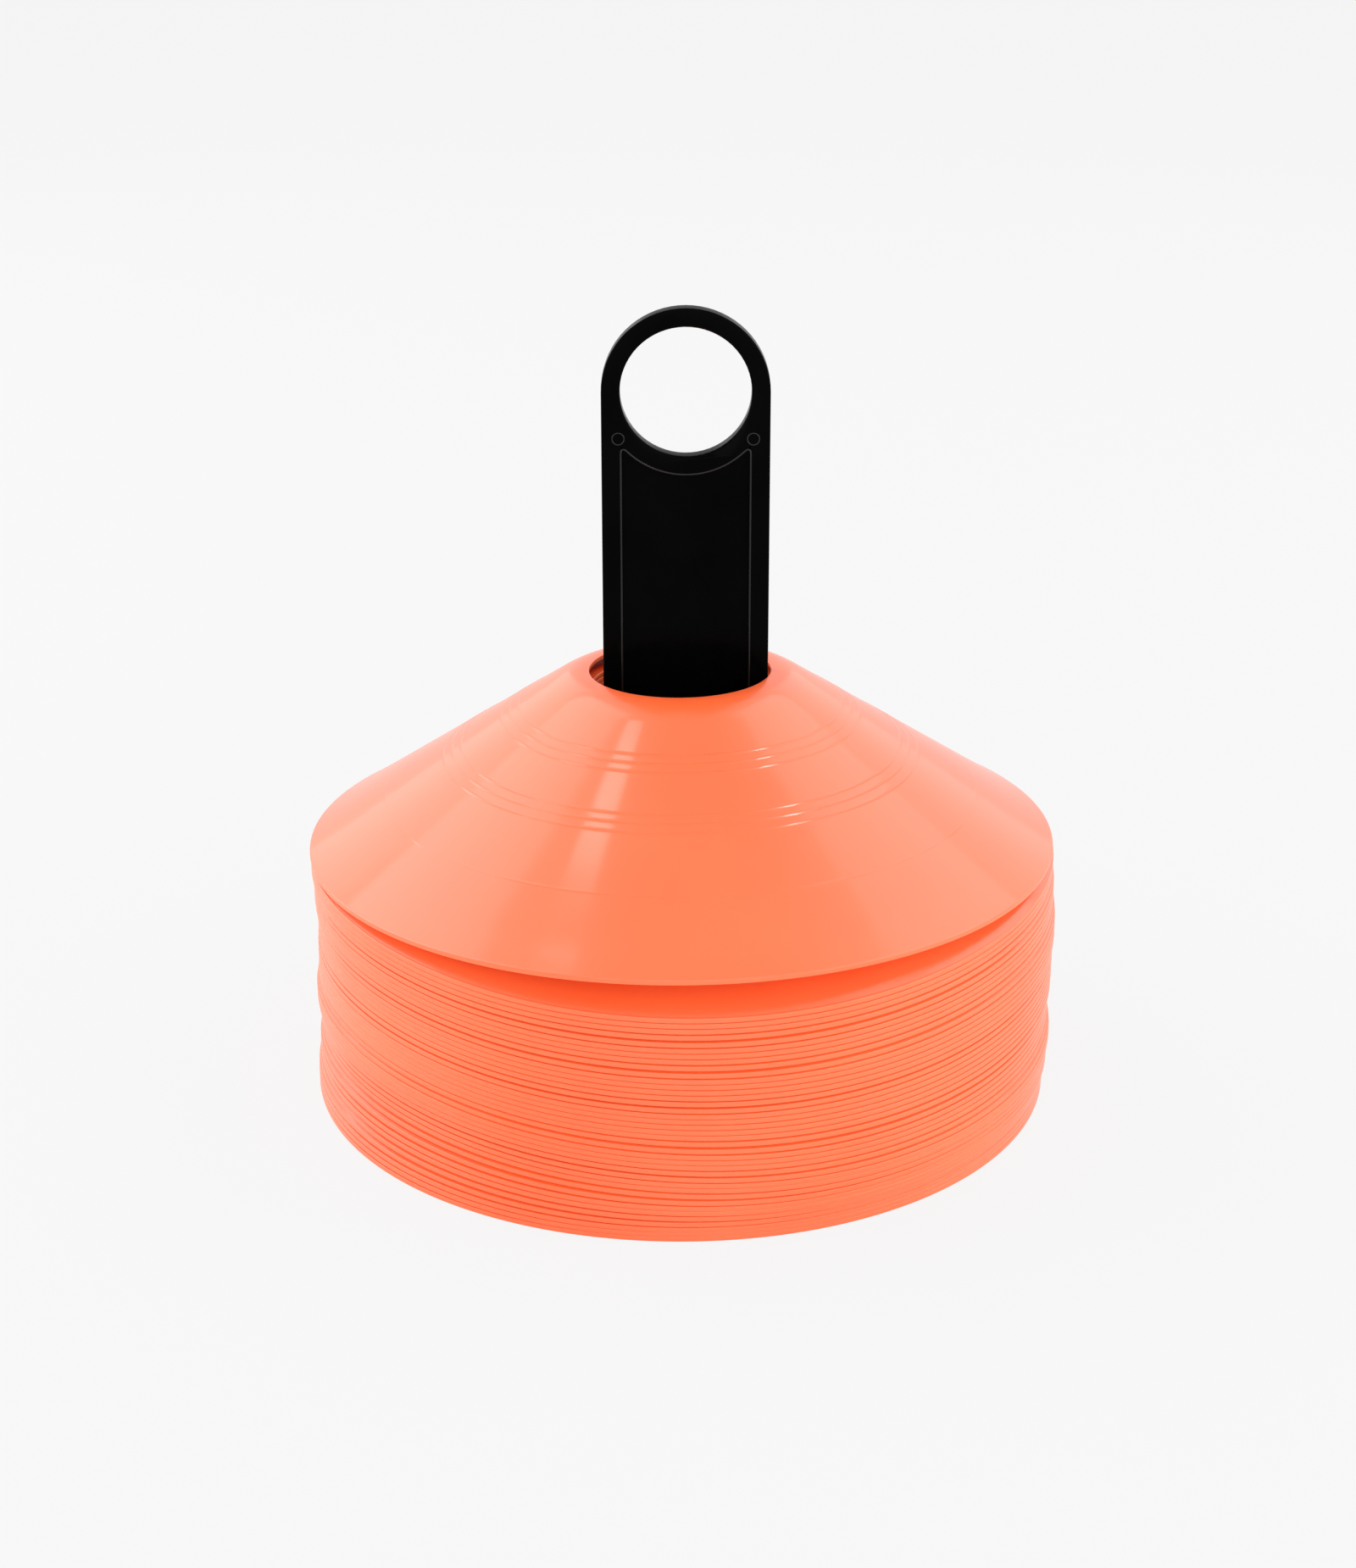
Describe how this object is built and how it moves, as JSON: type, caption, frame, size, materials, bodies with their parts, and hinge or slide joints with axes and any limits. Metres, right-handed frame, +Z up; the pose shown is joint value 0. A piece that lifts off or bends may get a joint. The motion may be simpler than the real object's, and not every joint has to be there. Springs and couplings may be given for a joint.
{
  "type": "marker cone stack",
  "caption": "Stack of nested flexible saucer-shaped sports marker cones on a flat carrier post with a ring handle; each cone lifts off over the post.",
  "frame": {"origin": "middle of the stack's outline on the floor", "axes": "+Z up along the carrier post, the ring handle's face looks to -Y, +X to the right in the picture"},
  "size_m": [0.2016, 0.2004, 0.213],
  "materials": {
    "disc": "translucent glossy coral-orange polyethylene",
    "carrier": "glossy black moulded plastic"
  },
  "bodies": {
    "carrier": {"carrier_upright": "carrier", "carrier_cross_foot": "carrier"},
    "disc_01": {"disc_01": "disc"},
    "disc_02": {"disc_02": "disc"},
    "disc_03": {"disc_03": "disc"},
    "disc_04": {"disc_04": "disc"},
    "disc_05": {"disc_05": "disc"},
    "disc_06": {"disc_06": "disc"},
    "disc_07": {"disc_07": "disc"},
    "disc_08": {"disc_08": "disc"},
    "disc_09": {"disc_09": "disc"},
    "disc_10": {"disc_10": "disc"},
    "disc_11": {"disc_11": "disc"},
    "disc_12": {"disc_12": "disc"},
    "disc_13": {"disc_13": "disc"},
    "disc_14": {"disc_14": "disc"},
    "disc_15": {"disc_15": "disc"},
    "disc_16": {"disc_16": "disc"},
    "disc_17": {"disc_17": "disc"},
    "disc_18": {"disc_18": "disc"},
    "disc_19": {"disc_19": "disc"},
    "disc_20": {"disc_20": "disc"},
    "disc_21": {"disc_21": "disc"},
    "disc_22": {"disc_22": "disc"},
    "disc_23": {"disc_23": "disc"},
    "disc_24": {"disc_24": "disc"},
    "disc_25": {"disc_25": "disc"},
    "disc_26": {"disc_26": "disc"},
    "disc_27": {"disc_27": "disc"},
    "disc_28": {"disc_28": "disc"},
    "disc_29": {"disc_29": "disc"},
    "disc_30": {"disc_30": "disc"},
    "disc_31": {"disc_31": "disc"},
    "disc_32": {"disc_32": "disc"},
    "disc_33": {"disc_33": "disc"},
    "disc_34": {"disc_34": "disc"},
    "disc_35": {"disc_35": "disc"},
    "disc_36": {"disc_36": "disc"},
    "disc_37": {"disc_37": "disc"},
    "disc_38": {"disc_38": "disc"},
    "disc_39": {"disc_39": "disc"},
    "disc_40": {"disc_40": "disc"}
  },
  "joints": [
    {"name": "disc_01_lift", "type": "slide", "parent": "carrier", "child": "disc_01", "axis": [0, 0, 1], "range_m": [0, 0.17]},
    {"name": "disc_02_lift", "type": "slide", "parent": "disc_01", "child": "disc_02", "axis": [0, 0, 1], "range_m": [0, 0.17]},
    {"name": "disc_03_lift", "type": "slide", "parent": "disc_02", "child": "disc_03", "axis": [0, 0, 1], "range_m": [0, 0.17]},
    {"name": "disc_04_lift", "type": "slide", "parent": "disc_03", "child": "disc_04", "axis": [0, 0, 1], "range_m": [0, 0.17]},
    {"name": "disc_05_lift", "type": "slide", "parent": "disc_04", "child": "disc_05", "axis": [0, 0, 1], "range_m": [0, 0.17]},
    {"name": "disc_06_lift", "type": "slide", "parent": "disc_05", "child": "disc_06", "axis": [0, 0, 1], "range_m": [0, 0.17]},
    {"name": "disc_07_lift", "type": "slide", "parent": "disc_06", "child": "disc_07", "axis": [0, 0, 1], "range_m": [0, 0.17]},
    {"name": "disc_08_lift", "type": "slide", "parent": "disc_07", "child": "disc_08", "axis": [0, 0, 1], "range_m": [0, 0.17]},
    {"name": "disc_09_lift", "type": "slide", "parent": "disc_08", "child": "disc_09", "axis": [0, 0, 1], "range_m": [0, 0.17]},
    {"name": "disc_10_lift", "type": "slide", "parent": "disc_09", "child": "disc_10", "axis": [0, 0, 1], "range_m": [0, 0.17]},
    {"name": "disc_11_lift", "type": "slide", "parent": "disc_10", "child": "disc_11", "axis": [0, 0, 1], "range_m": [0, 0.17]},
    {"name": "disc_12_lift", "type": "slide", "parent": "disc_11", "child": "disc_12", "axis": [0, 0, 1], "range_m": [0, 0.17]},
    {"name": "disc_13_lift", "type": "slide", "parent": "disc_12", "child": "disc_13", "axis": [0, 0, 1], "range_m": [0, 0.17]},
    {"name": "disc_14_lift", "type": "slide", "parent": "disc_13", "child": "disc_14", "axis": [0, 0, 1], "range_m": [0, 0.17]},
    {"name": "disc_15_lift", "type": "slide", "parent": "disc_14", "child": "disc_15", "axis": [0, 0, 1], "range_m": [0, 0.17]},
    {"name": "disc_16_lift", "type": "slide", "parent": "disc_15", "child": "disc_16", "axis": [0, 0, 1], "range_m": [0, 0.17]},
    {"name": "disc_17_lift", "type": "slide", "parent": "disc_16", "child": "disc_17", "axis": [0, 0, 1], "range_m": [0, 0.17]},
    {"name": "disc_18_lift", "type": "slide", "parent": "disc_17", "child": "disc_18", "axis": [0, 0, 1], "range_m": [0, 0.17]},
    {"name": "disc_19_lift", "type": "slide", "parent": "disc_18", "child": "disc_19", "axis": [0, 0, 1], "range_m": [0, 0.17]},
    {"name": "disc_20_lift", "type": "slide", "parent": "disc_19", "child": "disc_20", "axis": [0, 0, 1], "range_m": [0, 0.17]},
    {"name": "disc_21_lift", "type": "slide", "parent": "disc_20", "child": "disc_21", "axis": [0, 0, 1], "range_m": [0, 0.17]},
    {"name": "disc_22_lift", "type": "slide", "parent": "disc_21", "child": "disc_22", "axis": [0, 0, 1], "range_m": [0, 0.17]},
    {"name": "disc_23_lift", "type": "slide", "parent": "disc_22", "child": "disc_23", "axis": [0, 0, 1], "range_m": [0, 0.17]},
    {"name": "disc_24_lift", "type": "slide", "parent": "disc_23", "child": "disc_24", "axis": [0, 0, 1], "range_m": [0, 0.17]},
    {"name": "disc_25_lift", "type": "slide", "parent": "disc_24", "child": "disc_25", "axis": [0, 0, 1], "range_m": [0, 0.17]},
    {"name": "disc_26_lift", "type": "slide", "parent": "disc_25", "child": "disc_26", "axis": [0, 0, 1], "range_m": [0, 0.17]},
    {"name": "disc_27_lift", "type": "slide", "parent": "disc_26", "child": "disc_27", "axis": [0, 0, 1], "range_m": [0, 0.17]},
    {"name": "disc_28_lift", "type": "slide", "parent": "disc_27", "child": "disc_28", "axis": [0, 0, 1], "range_m": [0, 0.17]},
    {"name": "disc_29_lift", "type": "slide", "parent": "disc_28", "child": "disc_29", "axis": [0, 0, 1], "range_m": [0, 0.17]},
    {"name": "disc_30_lift", "type": "slide", "parent": "disc_29", "child": "disc_30", "axis": [0, 0, 1], "range_m": [0, 0.17]},
    {"name": "disc_31_lift", "type": "slide", "parent": "disc_30", "child": "disc_31", "axis": [0, 0, 1], "range_m": [0, 0.17]},
    {"name": "disc_32_lift", "type": "slide", "parent": "disc_31", "child": "disc_32", "axis": [0, 0, 1], "range_m": [0, 0.17]},
    {"name": "disc_33_lift", "type": "slide", "parent": "disc_32", "child": "disc_33", "axis": [0, 0, 1], "range_m": [0, 0.17]},
    {"name": "disc_34_lift", "type": "slide", "parent": "disc_33", "child": "disc_34", "axis": [0, 0, 1], "range_m": [0, 0.17]},
    {"name": "disc_35_lift", "type": "slide", "parent": "disc_34", "child": "disc_35", "axis": [0, 0, 1], "range_m": [0, 0.17]},
    {"name": "disc_36_lift", "type": "slide", "parent": "disc_35", "child": "disc_36", "axis": [0, 0, 1], "range_m": [0, 0.17]},
    {"name": "disc_37_lift", "type": "slide", "parent": "disc_36", "child": "disc_37", "axis": [0, 0, 1], "range_m": [0, 0.17]},
    {"name": "disc_38_lift", "type": "slide", "parent": "disc_37", "child": "disc_38", "axis": [0, 0, 1], "range_m": [0, 0.17]},
    {"name": "disc_39_lift", "type": "slide", "parent": "disc_38", "child": "disc_39", "axis": [0, 0, 1], "range_m": [0, 0.17]},
    {"name": "disc_40_lift", "type": "slide", "parent": "disc_39", "child": "disc_40", "axis": [0, 0, 1], "range_m": [0, 0.17]}
  ]
}
